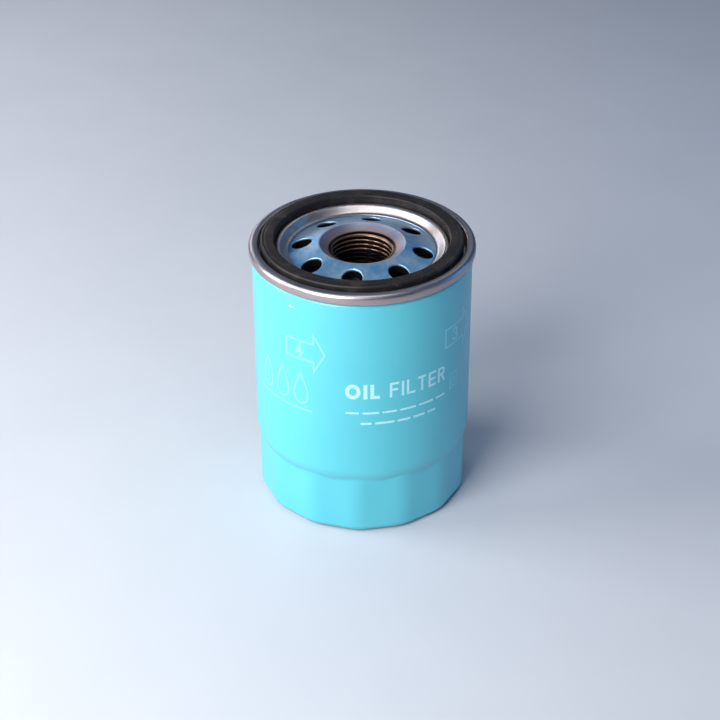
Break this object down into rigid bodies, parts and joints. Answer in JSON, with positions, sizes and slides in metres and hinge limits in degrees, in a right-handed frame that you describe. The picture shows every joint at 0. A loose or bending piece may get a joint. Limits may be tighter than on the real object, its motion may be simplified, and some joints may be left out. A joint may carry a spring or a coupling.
{
  "type": "spin-on oil filter",
  "caption": "Spin-on engine oil filter: steel canister with wrench flats, threaded plate with oil holes, sealing gasket and a pleated element inside.",
  "frame": {"origin": "middle of the closed end's standing face, on the thread's axis", "axes": "+Z along the thread's axis, out of the threaded end towards the engine; +X and +Y square to it"},
  "size_m": [0.0684, 0.0684, 0.0867],
  "materials": {
    "painted_can": "gloss light blue enamel over steel",
    "tinplate": "bright tinplate, rolled seam",
    "seam_compound": "matt lining compound",
    "gasket_rubber": "moulded nitrile, satin",
    "zinc_plate": "blue passivated zinc plate",
    "diaphragm_rubber": "moulded nitrile, matt",
    "cap_steel": "bright stamped steel",
    "potting": "cured brown adhesive",
    "paper": "resin treated filter paper",
    "spring_wire": "oiled spring wire"
  },
  "bodies": {
    "shell": {"canister": "painted_can", "gasket_retainer": "tinplate", "seam_compound": "seam_compound", "sealing_gasket": "gasket_rubber", "tapping_plate": "zinc_plate", "anti_drain_neck": "diaphragm_rubber", "hold_down_spring": "spring_wire"},
    "element": {"upper_end_cap": "cap_steel", "lower_end_cap": "cap_steel", "upper_potting": "potting", "lower_potting": "potting", "filter_paper": "paper", "media_seam_clip": "cap_steel", "centre_tube": "cap_steel", "spring_seat": "cap_steel", "bypass_seat_plate": "cap_steel", "bypass_housing": "cap_steel", "bypass_spring": "spring_wire"},
    "bypass_valve": {"bypass_poppet": "cap_steel", "bypass_seal": "diaphragm_rubber"},
    "anti_drain_valve": {"anti_drain_lip": "diaphragm_rubber"}
  },
  "joints": [
    {"name": "element_float", "type": "slide", "parent": "shell", "child": "element", "axis": [0, 0, -1], "range_m": [0, 0.0015], "stiffness_N_per_m": 3000, "springref_m": -0.01, "deforming": ["hold_down_spring"]},
    {"name": "bypass_valve_lift", "type": "slide", "parent": "element", "child": "bypass_valve", "axis": [0, 0, 1], "range_m": [0, 0.0025], "stiffness_N_per_m": 400, "springref_m": -0.01, "deforming": ["bypass_spring"]},
    {"name": "anti_drain_lip_open", "type": "slide", "parent": "shell", "child": "anti_drain_valve", "axis": [0, 0, -1], "range_m": [0, 0.0016], "stiffness_N_per_m": 100, "springref_m": -0.01}
  ]
}
